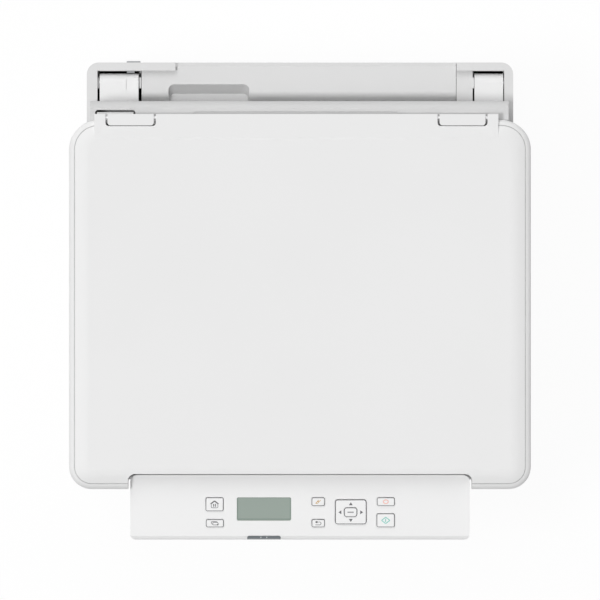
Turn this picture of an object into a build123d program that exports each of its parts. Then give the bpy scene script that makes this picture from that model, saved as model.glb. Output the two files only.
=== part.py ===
from build123d import *
import math
import os

# Frame: X to the right, Y to the rear, Z up, origin under the middle of the footprint. Millimetres and degrees.
# Driving sizes across the machine
width = 390.0
body_inset = 14.4
tower_width = 53.6
panel_inset = 51.6

# Driving sizes from front to rear
panel_reach = 42.8
scanner_length = 311.7
rear_reach = 49.2
stop_head = 1.3

# Driving sizes from the floor up
foot_height = 5.0
mechanism_height = 129.0
tray_step = 14.0
tray_rise = 26.0
well_opening = 42.0
scanner_gap = 4.0
scanner_height = 44.0
lid_height = 22.0

# Walls and clearances
wall = 2.5
fit = 0.3
slide_gap = 0.6
bearing_gap = 0.05

# Overall sizes that follow
depth = panel_reach + scanner_length + rear_reach + stop_head
frame_top = foot_height + mechanism_height
tray_pivot_z = frame_top + tray_step
tray_rear_z = tray_pivot_z + 4.0
tray_front_z = tray_rear_z + tray_rise
body_top = tray_front_z + well_opening
scan_bottom = body_top + scanner_gap
scan_top = scan_bottom + scanner_height
height = scan_top + lid_height
panel_front = -depth / 2
scan_front = panel_front + panel_reach
scan_back = scan_front + scanner_length
body_back = scan_back + rear_reach

# Lower body
foot_radius = 9.0
foot_inset = (30.6, 27.0, 29.2)
body_half = width / 2 - body_inset
body_front = scan_front + 7.7
cover_bottom = foot_height + 4.0
cover_back = scan_back - 6.0
floor_thick = 3.0
body_corner = 10.0
tower_corner = 11.0
rest_pad_size = 20.0
rest_gap = 0.1

# Output well between the side towers
well_half = body_half - tower_width
well_wall_bottom = frame_top + 4.0
exit_front = cover_back - 38.0
tray_pivot_y = exit_front - 8.0
tray_front_y = body_front + 4.0
tray_thick = 3.0
stop_length = 34.0
stop_half = 34.0
stop_pivot_y = body_front + 24.0
stop_pin = 1.0
tray_pin = 2.0

# Inner side frames, rollers and gears
frame_inner = well_half - 5.0
frame_thick = 2.0
shaft_radius = 3.0
gear_module = 2.0
gear_thick = 7.0
gear_gap = 1.0
drum_teeth = 24
idler_teeth = 27
pinion_teeth = 9
pinion_shaft = 2.0
heat_radius = 12.0
heat_y = cover_back - 28.0
heat_z = 72.0
drum_radius = 12.0
drum_y = heat_y - 98.0
drum_z = heat_z - 10.0
roller_gap = 0.3
transfer_radius = 7.0
feed_y = drum_y - 48.0
feed_radius = 11.0
feed_half = 28.0
delivery_radius = 7.0
delivery_y = exit_front + 20.0
delivery_z = tray_rear_z + 24.0
motor_radius = 18.0
motor_thick = 16.0
motor_bore = 5.0
roller_inset = 13.0

# Paper bed and tray door
door_half = well_half - 2.0
door_top = 90.0
door_thick = 3.5
door_pin = 2.0
door_pivot_y = body_front + wall + 2.5
door_pivot_z = foot_height + 10.0
bed_half = 106.0
bed_front = body_front + 14.0
bed_back = feed_y + 6.0
bed_z = foot_height + 11.0
bed_thick = 2.0
bed_pin = 1.5
guide_x = 102.0
guide_y = bed_front + 0.37 * (bed_back - bed_front)
guide_half = 0.31 * (bed_back - bed_front)
guide_travel = 50.0
guide_height = 22.0
pinion_stub = 4.0
rack_module = 1.5
rack_teeth = 14
rack_height = 3.0
rack_z = bed_z - 5.5
rack_pitch_radius = rack_teeth * rack_module / 2
rack_offset = rack_pitch_radius + 1.25 * rack_module + 2.0

# Rear cover and its opening
rear_cover_left = -body_half + 46.4
rear_cover_right = body_half - 48.4
rear_cover_top = body_top - 5.2
rear_pivot_y = body_back - 5.7
rear_pivot_z = foot_height + 31.0
rear_pin = 2.5
opening_gap = 0.4
rim_front = body_back - 6.8
rim_tongue_end = rear_cover_left + 28.7
rim_tongue_thick = 3.4
pocket_left = rear_cover_left + 22.7
pocket_right = pocket_left + 68.5
pocket_back = body_back - 18.4
pocket_depth = 9.0
slope_back = body_back - 27.5
slope_drop = 12.0

# Sockets, board, fan and button in the right tower
board_x = frame_inner + 12.0
board_thick = 1.6
inlet_box = (board_x + 6.0, board_x + 34.0, foot_height + 29.0, foot_height + 53.0)
port_box = (board_x + 1.4, board_x + 17.8, foot_height + 64.8, foot_height + 81.2)
board_front = cover_back - 196.0
fan_y = cover_back - 166.0
fan_z = foot_height + 86.0
fan_radius = 20.0
fan_post = 24.0
fan_back = body_half - wall - 12.0
vent_count = 7
vent_pitch = 6.0
vent_length = 52.0
button_box = (body_half - 30.6, body_half - 16.6, body_top - 70.0, body_top - 56.0)

# Scanner unit
scan_split = scan_top - 10.0
scan_front_radius = 19.0
scan_back_radius = 25.0
notch_half = width / 2 - 49.7
notch_y = scan_front + 11.9
notch_radius = 6.0
bar_left = -width / 2 + 17.7
bar_right = width / 2 - 18.8
bar_front = scan_back - 3.4
bar_back = scan_back + 16.1
bar_top = height - 13.0
bar_round = 6.5
bar_recess = (-91.5, 86.0)
glass_half = 156.0
glass_front = scan_front + 43.7
glass_back = scan_back - 41.0
glass_thick = 3.0
glass_lap = 6.0
rod_y = scan_back - 162.0
rod_z = scan_bottom + 19.0
rod_half = width / 2 - 21.0
rod_radius = 3.0
belt_y = rod_y + 32.0
belt_z = rod_z - 3.0
belt_reach = width / 2 - 35.0
belt_radius = 7.0
pulley_post = 2.0
sensor_start = width / 2 - 55.0
scan_pivot_y = body_back - 17.2
scan_pivot_z = body_top - 9.0
arm_radius = 8.0
arm_pin_radius = 3.0
arm_left = (-body_half + 10.9, -body_half + 43.8)
arm_right = (body_half - 32.8, body_half - 8.5)
window_left = (-body_half + 9.0, rear_cover_left - opening_gap)
window_right = (body_half - 34.3, body_half - 7.6)
window_back = body_back - 7.2
hinge_stop_x = (arm_left[1] - 9.8, arm_left[1] - 3.4)
lug_bottom = scan_pivot_z - 61.0
pin_spans = ((window_left[0] - 4.0, window_left[1]), (window_right[0] - 4.0, window_right[1] + 4.0))
lug_spans = (
    (pin_spans[0][0], arm_left[0] - opening_gap),
    (arm_left[1] + opening_gap, pin_spans[0][1]),
    (pin_spans[1][0], arm_right[0] - opening_gap),
    (arm_right[1] + opening_gap, pin_spans[1][1]),
)

# Lid
groove_inset = 4.6
lid_bottom = scan_top + 0.5
lid_roll = 17.0
roll_drop = 4.2
lid_edge = 7.6
lid_notch_gap = 0.8
lid_cavity = width / 2 - 8.0
lid_cavity_back = bar_front - 4.6
strip_left = -width / 2 + 21.3
strip_right = width / 2 - 27.5
strip_front = scan_back - 15.0
strip_back = scan_back + 5.1
strip_thick = 8.5
lid_axis_y = scan_back + 2.0
lid_axis_z = height - 2.2
lid_pin_radius = 1.2
cut_left = (-width / 2 + 30.7, -width / 2 + 73.3)
cut_right = (width / 2 - 78.9, width / 2 - 36.6)
cut_front = scan_back - 6.6
knuckle_side_gap = 1.8
knuckle_front = cut_front + 2.0
knuckle_gap = 0.5
leg_front = scan_back - 2.4
leg_bottom = scan_bottom + 12.0
leg_left = (-width / 2 + 23.5, -width / 2 + 54.3)
leg_right = (width / 2 - 76.0, width / 2 - 39.5)
leg_left_back = scan_back + 6.6
leg_right_back = scan_back + 5.0
leg_gap = 0.4
socket_wall = 2.4
pad_margin = 2.0
pad_top = lid_bottom + 6.5
inner_plate_thick = 2.0

# Control panel
panel_half = width / 2 - panel_inset
panel_rear_z = height - 12.0
panel_tilt = 12.0
panel_bottom = scan_bottom + 20.0
panel_under = scan_bottom + 4.0
panel_wall = 2.2
panel_corner = 4.5
key_gap = 0.45
key_travel = 0.8
key_rise = 0.9
key_flange = 0.9
key_corner = 1.7
nav_drop = 1.1
nav_flange = 0.8
nav_pivot = 0.6
nav_corner = 2.8
nav_top = -panel_wall - nav_drop
gimbal_top = nav_top - nav_flange - nav_pivot
gimbal_thick = 0.6
ok_corner = 2.6
lcd_corner = 1.3
board_drop = 4.4
switch_height = 1.6
led_span = (-44.6, -16.3)
led_depth = 3.3
led_height = 8.0


def on_panel(x0, x1, front, back):
    """A plan box on the panel, its front and back measured from the panel's front edge."""
    return (x0, x1, panel_front + front, panel_front + back)


home_box = on_panel(-79.9, -64.5, 24.1, 36.0)
id_box = on_panel(-79.7, -64.3, 10.5, 17.5)
reset_box = on_panel(9.7, 21.1, 28.5, 36.0)
back_box = on_panel(9.7, 21.1, 10.5, 17.6)
stop_box = on_panel(64.8, 80.2, 28.5, 36.0)
start_box = on_panel(64.6, 80.2, 10.5, 22.4)
ok_box = on_panel(37.1, 48.4, 19.3, 27.6)
nav_box = on_panel(29.4, 56.4, 13.0, 34.3)
lcd_box = on_panel(-53.4, -7.5, 15.9, 35.7)
key_boxes = {
    "home_key": home_box,
    "id_copy_key": id_box,
    "reset_key": reset_box,
    "back_key": back_box,
    "stop_key": stop_box,
    "start_key": start_box,
}


def block(x0, x1, y0, y1, z0, z1):
    """A plain box between two corners."""
    return Pos((x0 + x1) / 2, (y0 + y1) / 2, (z0 + z1) / 2) * Box(abs(x1 - x0), abs(y1 - y0), abs(z1 - z0))


def rod(x0, x1, y, z, radius):
    """A round bar along X."""
    return Pos((x0 + x1) / 2, y, z) * Rot(0, 90, 0) * Cylinder(radius, abs(x1 - x0))


def post(x, y, z0, z1, radius):
    """A round bar along Z."""
    return Pos(x, y, (z0 + z1) / 2) * Cylinder(radius, z1 - z0)


def side_profile(points, x0, x1):
    """A YZ outline carried along X."""
    face = make_face(Polyline(*points, close=True))
    return Pos(x0, 0, 0) * extrude(Plane.YZ * face, amount=x1 - x0)


def plan(x0, x1, y0, y1, front_radius, back_radius):
    """A plan outline with its own front and back corner radii."""
    outline = Pos((x0 + x1) / 2, (y0 + y1) / 2) * Rectangle(x1 - x0, y1 - y0)
    if front_radius:
        outline = fillet(outline.vertices().sort_by(Axis.Y)[:2], front_radius)
    if back_radius:
        outline = fillet(outline.vertices().sort_by(Axis.Y)[-2:], back_radius)
    return outline


def slab(x0, x1, y0, y1, front_radius, back_radius, z0, z1):
    """A plan outline raised from z0 to z1."""
    return Pos(0, 0, z0) * extrude(plan(x0, x1, y0, y1, front_radius, back_radius), amount=z1 - z0)


def gear(teeth, module, thick, bore=0.0):
    """A spur gear on Z with straight-flanked teeth and running backlash."""
    pitch = teeth * module / 2
    step = 2 * math.pi / teeth
    rings = ((pitch - 1.12 * module, 0.335), (pitch + 0.8 * module, 0.11))
    points = []
    for tooth in range(teeth):
        centre = tooth * step
        for radius, share in rings:
            angle = centre - share * step
            points.append((radius * math.cos(angle), radius * math.sin(angle)))
        for radius, share in reversed(rings):
            angle = centre + share * step
            points.append((radius * math.cos(angle), radius * math.sin(angle)))
    wheel = extrude(make_face(Polyline(*points, close=True)), amount=thick)
    if bore:
        wheel -= Cylinder(bore, 3 * thick)
    return wheel


def gear_on_x(teeth, x0, y, z, turn=0.0, bore=0.0):
    """A spur gear on an axis along X, its near face at x0, turned about its axis."""
    wheel = Rot(0, 0, turn) * gear(teeth, gear_module, gear_thick, bore)
    return Pos(x0, y, z) * (Rot(0, 90, 0) * (Rot(0, 0, 90) * wheel))


def mesh_distance(teeth_a, teeth_b):
    """Centre distance of two meshing gears."""
    return (teeth_a + teeth_b) * gear_module / 2


# Places worked out from the sizes above
gear_x = -frame_inner - frame_thick - gear_gap - gear_thick
transfer_z = drum_z - drum_radius - transfer_radius - roller_gap
feed_z = drum_z - math.sqrt(mesh_distance(drum_teeth, idler_teeth) ** 2 - (drum_y - feed_y) ** 2)
pressure_z = heat_z - 2 * heat_radius - roller_gap
half_span = math.hypot(heat_y - drum_y, heat_z - drum_z) / 2
idler_rise = math.sqrt(mesh_distance(drum_teeth, idler_teeth) ** 2 - half_span ** 2)
idler_y = (drum_y + heat_y) / 2 - idler_rise * (heat_z - drum_z) / (2 * half_span)
idler_z = (drum_z + heat_z) / 2 + idler_rise * (heat_y - drum_y) / (2 * half_span)
pinion_y = idler_y
pinion_z = idler_z + mesh_distance(pinion_teeth, idler_teeth)
floor_top = foot_height + floor_thick
tray_slope = (tray_front_z - tray_rear_z) / (tray_pivot_y + 4.0 - tray_front_y)
panel_cos = math.cos(math.radians(panel_tilt))
panel_sin = math.sin(math.radians(panel_tilt))
frame_under = scan_top - wall
glass_under = frame_under - glass_thick


def panel_height(y):
    """Height of the panel's top face at a plan position."""
    return panel_rear_z + (y - notch_y) * panel_sin / panel_cos


def panel_frame(x, y):
    """A location on the panel's top face, its Z square to the face."""
    plane = Plane(origin=(x, y, panel_height(y)), x_dir=(1, 0, 0), z_dir=(0, -panel_sin, panel_cos))
    return plane.location


def bottom_frame():
    """Moulded base: floor, skirt, paper separation ribs, bed stops and pivot blocks."""
    half = body_half - wall - 0.1
    front = body_front + wall + 0.1
    back = body_back - wall - 0.1
    skirt_top = floor_top + 12.0
    frame = slab(-half, half, front, back, tower_corner, body_corner, foot_height, skirt_top)
    frame -= slab(-half + 3, half - 3, front + 3, back - 3, tower_corner - 3, body_corner - 3, floor_top,
                  skirt_top + 1)
    frame -= block(-door_half - 1.5, door_half + 1.5, front - 1, body_front + 12, floor_top, skirt_top + 1)
    rib = [(feed_y + 16, floor_top), (feed_y + 16, foot_height + 25), (drum_y - 12, foot_height + 28),
           (drum_y - 12, floor_top)]
    for index in range(9):
        x = (bed_half - 26) * (index - 4) / 4
        if abs(x) > feed_half + 7:
            frame += side_profile(rib, x - 1, x + 1)
    for side in (-1, 1):
        x = side * (bed_half - 16)
        frame += block(x - 4, x + 4, bed_back - 38, bed_back - 28, floor_top, bed_z)
        frame += block(side * (bed_half + 6), side * (bed_half + 10), bed_front - 4, bed_front + 6, floor_top,
                       bed_z + bed_thick + 4)
        frame += block(side * (door_half + 0.6), side * (door_half + 6), door_pivot_y - 2.4, door_pivot_y + 7,
                       floor_top, door_pivot_z + 6)
    frame -= rod(-bed_half - 12, bed_half + 12, bed_front, bed_z + bed_thick / 2, bed_pin + bearing_gap)
    frame -= rod(-door_half - 4, door_half + 4, door_pivot_y, door_pivot_z, door_pin + bearing_gap)
    return frame


def rubber_feet():
    """Four round rubber feet under the base corners."""
    feet = []
    for side in (-1, 1):
        for y in (body_front + foot_inset[1], body_back - foot_inset[2]):
            foot = post(side * (body_half - foot_inset[0]), y, 0, foot_height, foot_radius)
            feet.append(chamfer(foot.edges().filter_by(GeomType.CIRCLE).sort_by(Axis.Z)[0], 1.0))
    return feet


def side_cover(side):
    """One tower: outer skin, front, top and the wall of the output well."""
    outer = slab(-body_half, body_half, body_front, cover_back, tower_corner, 0, cover_bottom, body_top)
    outer &= block(well_half, body_half, body_front, cover_back, 0, body_top)
    top_outer = outer.faces().sort_by(Axis.Z)[-1].edges().filter_by(Axis.Y).sort_by(Axis.X)[-1]
    outer = chamfer(top_outer, 2.0)
    inner = slab(-body_half, body_half - wall, body_front + wall, cover_back + 5, tower_corner - wall, 0,
                 cover_bottom - 1, body_top - wall)
    cover = outer - (inner & block(well_half + wall, body_half, body_front, cover_back + 5, 0, body_top))
    cover -= block(well_half - 1, well_half + wall + 0.5, body_front + wall, cover_back + 1, 0, well_wall_bottom)
    pad_back = body_half - 8.6
    for y in (body_front + 22, cover_back - 86):
        cover += block(pad_back - rest_pad_size, pad_back, y, y + rest_pad_size, body_top,
                       scan_bottom - rest_gap)
    cover -= rod(well_half - 1, well_half + wall + 1, tray_pivot_y, tray_pivot_z, tray_pin + bearing_gap)
    vent_front = fan_y - 26 if side > 0 else cover_back - 76
    for index in range(vent_count):
        z = fan_z - 21 + vent_pitch * index
        cover -= block(body_half - 4, body_half + 1, vent_front, vent_front + vent_length, z, z + vent_pitch / 2)
    if side > 0:
        x0, x1, z0, z1 = button_box
        cover -= block(x0, x1, body_front - 1, body_front + wall + 1, z0, z1)
        for y in (fan_y - fan_post, fan_y + fan_post):
            for z in (fan_z - fan_post, fan_z + fan_post):
                cover += block(fan_back, body_half - wall + 0.5, y - 2, y + 2, z - 2, z + 2)
    else:
        cover = mirror(cover, about=Plane.YZ)
    return cover


def left_cover():
    return side_cover(-1)


def right_cover():
    return side_cover(1)


def front_cover():
    """Fixed front wall between the tray door and the output tray."""
    lip_z = tray_front_z - 20
    half = well_half - fit
    back = body_front + wall
    shell = block(-half, half, body_front, back, door_top + 1, lip_z)
    shell = chamfer(shell.faces().sort_by(Axis.Z)[-1].edges().filter_by(Axis.X).sort_by(Axis.Y)[0], 1.2)
    shell += block(-half, half, back, body_front + 14, door_top + 1, door_top + 3.5)
    shell += block(-half, half, back, body_front + 9, lip_z - 4, lip_z - 1.5)
    for x in (-frame_inner - frame_thick, frame_inner):
        shell += block(x, x + frame_thick, back, body_front + 22, door_top + 1, frame_top - 4)
    for index in range(3):
        x = (index - 1) * well_half * 0.55
        shell += block(x - 1, x + 1, back, body_front + 9, door_top + 1, lip_z - 1.5)
    return shell


def rear_housing():
    """Rear moulding with hinge windows, raised rear rim and the rear cover's opening."""
    house = slab(-body_half, body_half, cover_back + 0.2, body_back, 0, body_corner, cover_bottom, body_top)
    house -= slab(-body_half + wall, body_half - wall, cover_back - 2, body_back - wall, 0, body_corner - wall,
                  cover_bottom - 1, rear_cover_top - wall)
    house -= block(window_left[0], window_right[1], cover_back, rim_front, rear_cover_top, body_top + 1)
    house -= block(rear_cover_left - opening_gap, rear_cover_right + opening_gap, cover_back, body_back + 1,
                   rear_pivot_z - 8, body_top + 1)
    tongue = block(rear_cover_left - 1, rim_tongue_end, rim_front, body_back, body_top - rim_tongue_thick, body_top)
    house += chamfer(tongue.edges().filter_by(Axis.Z).sort_by(Axis.X)[-2:].sort_by(Axis.Y)[-1], 1.2)
    for x0, x1 in (window_left, window_right):
        house -= block(x0, x1, cover_back - 1, window_back, body_top - 30, body_top + 1)
    for x0, x1 in lug_spans:
        house += block(x0, x1, scan_pivot_y - 4.5, scan_pivot_y + 4.5, lug_bottom, scan_pivot_z + 4.5)
        house += block(x0, x1, scan_pivot_y, body_back - wall, lug_bottom, scan_pivot_z - 9)
    for x0, x1 in pin_spans:
        house -= rod(x0 - 0.1, x1 + 0.1, scan_pivot_y, scan_pivot_z, arm_pin_radius)
    for x0, x1, z0, z1 in (inlet_box, port_box):
        house -= block(x0, x1, body_back - 5, body_back + 1, z0, z1)
    for side, x in ((-1, rear_cover_left - opening_gap), (1, rear_cover_right + opening_gap)):
        house += block(x, x + side * 5, rear_pivot_y - 6, body_back - 1, rear_pivot_z - 8, rear_pivot_z + 8)
        house -= rod(x - 4 * side, x + 4 * side, rear_pivot_y, rear_pivot_z, rear_pin + bearing_gap)
    house -= block(hinge_stop_x[0], hinge_stop_x[1], window_back - 1, body_back + 1, scan_pivot_z - 1,
                   scan_pivot_z + 5)
    return house


def hinge_stop():
    """Snap-in stop behind the left scanner arm, with a head outside the rear wall."""
    head = block(hinge_stop_x[0] - 0.3, hinge_stop_x[1] + 5.1, body_back, body_back + stop_head, scan_pivot_z - 7,
                 scan_pivot_z + 5)
    head = chamfer(head.faces().sort_by(Axis.Y)[-1].edges(), 0.5)
    shank = block(hinge_stop_x[0], hinge_stop_x[1], scan_pivot_y + arm_radius + 0.4, body_back, scan_pivot_z - 1,
                  scan_pivot_z + 5)
    return head + shank


def scanner_hinge_pins():
    """Two steel pins that carry the scanner arms."""
    return [rod(x0, x1, scan_pivot_y, scan_pivot_z, arm_pin_radius) for x0, x1 in pin_spans]


def side_frame(side):
    """Steel side plate with shaft bearings."""
    front = body_front + 24
    back = cover_back + 4
    points = [(front, floor_top), (front, frame_top - 74), (front + 28, frame_top), (back, frame_top),
              (back, floor_top)]
    x0 = frame_inner if side > 0 else -frame_inner - frame_thick
    plate = side_profile(points, x0, x0 + frame_thick)
    for y, z in ((drum_y, drum_z), (drum_y, transfer_z), (feed_y, feed_z), (heat_y, heat_z), (heat_y, pressure_z)):
        plate -= rod(x0 - 1, x0 + frame_thick + 1, y, z, shaft_radius + bearing_gap)
    plate += block(x0, x0 - side * 8, front + 8, front + 68, floor_top, floor_top + 1.5)
    plate += block(x0, x0 - side * 10, drum_y - 24, drum_y - 16, frame_top - 1.5, frame_top)
    if side < 0:
        plate -= rod(x0 - 1, x0 + 3, pinion_y, pinion_z, 7.0)
        plate += rod(x0 - gear_gap - gear_thick - 1.5, x0, idler_y, idler_z, shaft_radius)
    return plate


def side_frames():
    return [side_frame(-1), side_frame(1)]


def exit_guide():
    """Curved paper exit over the fuser, open to the output well."""
    front, back, z = exit_front, cover_back + 4, delivery_z
    top = body_top - 3
    half = well_half - fit
    points = [(front, frame_top + 16), (front, z - 10), (front + 12, z - 10), (front + 12, z + 10), (front, z + 14),
              (front, top), (back, top), (back, z + 22), (back - 6, z + 22), (back - 10, frame_top + 16)]
    guide = side_profile(points, -half, half)
    hollow = [(front + wall, z + 17), (front + wall, top - wall), (back - wall, top - wall), (back - wall, z + 24),
              (back - 8, z + 20)]
    guide -= side_profile(hollow, -half + wall, half - wall)
    throat = [(front + 10, z - 16), (front + 10, z + 12), (back - 4, z + 16), (back - 4, z - 16)]
    guide -= side_profile(throat, -half + wall + 1.7, half - wall - 1.7)
    guide -= rod(-well_half - 1, well_half + 1, delivery_y, z, shaft_radius + bearing_gap)
    return guide


def roller(half, y, z, radius, shaft0, shaft1):
    """A roller on its shaft."""
    return rod(-half, half, y, z, radius) + rod(shaft0, shaft1, y, z, shaft_radius)


def driven_roller(half, y, z, radius, teeth, turn):
    """A roller with its gear outside the left plate."""
    body = roller(half, y, z, radius, gear_x - 1, frame_inner + frame_thick)
    return body + gear_on_x(teeth, gear_x, y, z, turn)


def drum():
    """Photoconductor drum with its drive gear."""
    return driven_roller(frame_inner - roller_inset, drum_y, drum_z, drum_radius, drum_teeth, turns["drum"])


def idler_gear():
    return gear_on_x(idler_teeth, gear_x, idler_y, idler_z, turns["idler"], shaft_radius + bearing_gap)


def motor_pinion():
    """Small drive gear on the motor shaft."""
    gear_end = gear_x + gear_thick - 0.5
    shaft = rod(gear_end, -frame_inner + motor_bore - 0.05, pinion_y, pinion_z, pinion_shaft)
    return gear_on_x(pinion_teeth, gear_x, pinion_y, pinion_z, turns["pinion"]) + shaft


def feed_roller():
    """Pick-up roller with a rubber tyre and its gear."""
    return driven_roller(feed_half, feed_y, feed_z, feed_radius, idler_teeth, turns["feed"])


def heat_roller():
    return driven_roller(frame_inner - roller_inset + 1, heat_y, heat_z, heat_radius, drum_teeth, turns["heat"])


def pressure_roller():
    end = frame_inner + frame_thick
    return roller(frame_inner - roller_inset + 1, heat_y, pressure_z, heat_radius, -end, end)


def transfer_roller():
    end = frame_inner + frame_thick
    return roller(frame_inner - roller_inset - 1, drum_y, transfer_z, transfer_radius, -end, end)


def delivery_roller():
    """Exit shaft with four tyres."""
    body = rod(-well_half + fit, well_half - fit, delivery_y, delivery_z, shaft_radius)
    for index in range(4):
        x = (index - 1.5) * well_half * 0.41
        body += rod(x - 8, x + 8, delivery_y, delivery_z, delivery_radius)
    return body


def gear_turns():
    """Turn of each gear so that teeth and gaps meet on every line of centres."""
    def line(y0, z0, y1, z1):
        return math.degrees(math.atan2(z1 - z0, y1 - y0))
    out = {}
    to_idler = line(drum_y, drum_z, idler_y, idler_z)
    out["drum"] = to_idler
    out["idler"] = to_idler + 180 + 180 / idler_teeth
    to_heat = line(idler_y, idler_z, heat_y, heat_z)
    offset = to_heat - out["idler"]
    out["heat"] = to_heat + 180 + 180 / drum_teeth + offset * idler_teeth / drum_teeth
    to_pinion = line(idler_y, idler_z, pinion_y, pinion_z)
    offset = to_pinion - out["idler"]
    out["pinion"] = to_pinion + 180 + 180 / pinion_teeth + offset * idler_teeth / pinion_teeth
    to_feed = line(drum_y, drum_z, feed_y, feed_z)
    offset = to_feed - out["drum"]
    out["feed"] = to_feed + 180 + 180 / idler_teeth + offset * drum_teeth / idler_teeth
    return out


turns = gear_turns()


def fuser_housing():
    """Heat-proof cradle round the two fuser rollers, open along the paper path."""
    low = foot_height + 21
    half = frame_inner - 4
    inner = frame_inner - 10
    box = block(-half, half, heat_y - 22, heat_y + 22, low, heat_z + 20)
    for z in (heat_z, pressure_z):
        box -= rod(-inner, inner, heat_y, z, heat_radius + 2)
        box -= rod(-half - 2, half + 2, heat_y, z, shaft_radius + 1)
    box -= block(-inner, inner, heat_y - 30, heat_y + 30, pressure_z + heat_radius - 5, heat_z - heat_radius + 5)
    for side in (-1, 1):
        x = side * (frame_inner - 22)
        box += block(x - 8, x + 8, heat_y - 18, heat_y + 18, floor_top, low)
    return box


def laser_unit():
    """Sealed optical box with its window slot, mirror-motor dome and two cross plates."""
    half = frame_inner - 30
    y, z = drum_y, frame_top
    box = block(-half, half, y + 14, y + 74, z - 22, z - 2)
    box = chamfer(box.faces().sort_by(Axis.Z)[-1].edges(), 2.0)
    box += post(0, y + 50, z - 4, z + 2, 16.0)
    box -= block(-half + 12, half - 12, y + 20, y + 24, z - 24, z - 18)
    for plate_y in (y + 12, y + 72):
        box += block(-frame_inner, frame_inner, plate_y, plate_y + 4, z - 26, z - 10)
    box -= rod(-frame_inner - 1, -frame_inner + motor_thick + 9, pinion_y, pinion_z, motor_radius + 2)
    return box


def toner_cartridge():
    """Toner hopper with drum arch, ribbed back and grip."""
    section = ((-104, 12), (-104, 50), (-96, 60), (-18, 60), (-8, 50), (-4, 30), (14, 22), (14, 8), (-4, -6), (-28, 2))
    y, z = drum_y, drum_z
    half = frame_inner - 7
    body = side_profile([(y + along, z + up) for along, up in section], -half, half)
    body -= rod(-half + 4, half - 4, y, z, drum_radius + 1.2)
    body -= block(-half + 4, half - 4, y - 7, y + 30, z - 22, z)
    body -= rod(-half - 5, half + 5, y, z, shaft_radius + 0.5)
    body += block(-45, 45, y - 118, y - 104, z + 22, z + 42) - block(-38, 38, y - 115, y - 103, z + 18, z + 46)
    for index in range(9):
        x = (half - 35) * (index - 4) / 4
        body += block(x - 1, x + 1, y - 90, y - 26, z + 60, z + 61.5)
    body -= rod(-half - 5, half + 5, feed_y, feed_z, feed_radius + 3)
    for side in (-1, 1):
        body += block(side * (half - 1), side * (half + 1), y - 80, y - 40, z + 4, z + 34)
        body += block(side * half, side * frame_inner, y - 70, y - 62, z + 22, z + 30)
    return body


def drive_motor():
    """Flat brushless motor on the inside of the left plate."""
    body = rod(-frame_inner, -frame_inner + motor_thick, pinion_y, pinion_z, motor_radius)
    body = chamfer(body.edges().filter_by(GeomType.CIRCLE).sort_by(Axis.X)[-1], 2.0)
    body -= rod(-frame_inner - 1, -frame_inner + motor_bore, pinion_y, pinion_z, pinion_shaft + bearing_gap)
    return body


def main_board():
    """Logic board on four posts beside the right plate, its cable socket reaching the rear wall."""
    face = board_x + board_thick
    base = foot_height
    board = block(board_x, face, board_front, body_back - 15, base + 59, base + 119)
    board += block(board_x, face, board_front, cover_back - 36, base + 25, base + 61)
    x0, x1, z0, z1 = port_box
    board += block(face, x1 - 0.2, body_back - 19, body_back - 0.4, z0 + 0.2, z1 - 0.2)
    board -= block(x0 + 2.8, x1 - 2.8, body_back - 13, body_back + 1, z0 + 3.2, z1 - 3.2)
    middle_x, middle_z = (x0 + x1) / 2, (z0 + z1) / 2
    board += block(middle_x - 1.5, middle_x + 1.5, body_back - 14, body_back - 3, middle_z - 2, middle_z + 2)
    for along, up, length, tall, rise in ((50, 75, 22, 22, 3), (95, 55, 14, 18, 2.5), (95, 95, 20, 10, 2.5),
                                          (135, 75, 12, 26, 8)):
        y, z = board_front + along, base + up
        board += block(face, face + rise, y - length / 2, y + length / 2, z - tall / 2, z + tall / 2)
    for y in (board_front + 8, cover_back - 44):
        for z in (base + 31, base + 113):
            board += block(frame_inner + frame_thick, board_x, y - 2, y + 2, z - 2, z + 2)
    return board


def power_supply():
    """Low supply board on four posts with its large parts."""
    x0, x1 = board_x - 4, body_half - 8.6
    y0, y1 = cover_back - 166, cover_back + 4
    low = floor_top + 6
    top = low + board_thick
    board = block(x0, x1, y0, y1, low, top)
    middle = (x0 + x1) / 2
    for along, across, length, rise in ((20, 24, 26, 22), (60, 30, 30, 20), (110, 20, 34, 24), (150, 24, 20, 14)):
        board += block(middle - across / 2, middle + across / 2, y0 + along - length / 2, y0 + along + length / 2,
                       top, top + rise)
    for x in (x0 + 4, x1 - 4):
        for y in (y0 + 6, y1 - 6):
            board += block(x - 2, x + 2, y - 2, y + 2, floor_top, low)
    return board


def power_inlet():
    """Two-pole appliance inlet set in the rear wall."""
    x0, x1, z0, z1 = inlet_box
    middle_x, middle_z = (x0 + x1) / 2, (z0 + z1) / 2
    shell = block(x0 + 0.2, x1 - 0.2, body_back - 22, body_back - 0.4, z0 + 0.2, z1 - 0.2)
    shell -= block(x0 + 4, x1 - 4, body_back - 16, body_back + 1, z0 + 4.5, z1 - 4.5)
    for side in (-5, 5):
        shell += Pos(middle_x + side, body_back - 10, middle_z) * Rot(90, 0, 0) * Cylinder(1.6, 13)
    for low in (z0 - 4, z1 - 0.2):
        shell += block(x0 - 1.5, x1 + 2, body_back - 6, body_back - wall, low, low + 4.2)
    return shell


def cooling_fan():
    """Fan rotor with seven blades on a hub."""
    x0 = fan_back - 2
    rotor = rod(x0, x0 + 8, fan_y, fan_z, 8)
    for index in range(7):
        place = Pos(x0 + 4, fan_y, fan_z) * Rot(360 / 7 * index, 0, 0) * Pos(0, 0, 12.5) * Rot(0, 0, 35)
        rotor += place * Box(8, 1.2, 11)
    return rotor - rod(x0 - 1, x0 + 7, fan_y, fan_z, 1.5 + bearing_gap)


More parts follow.
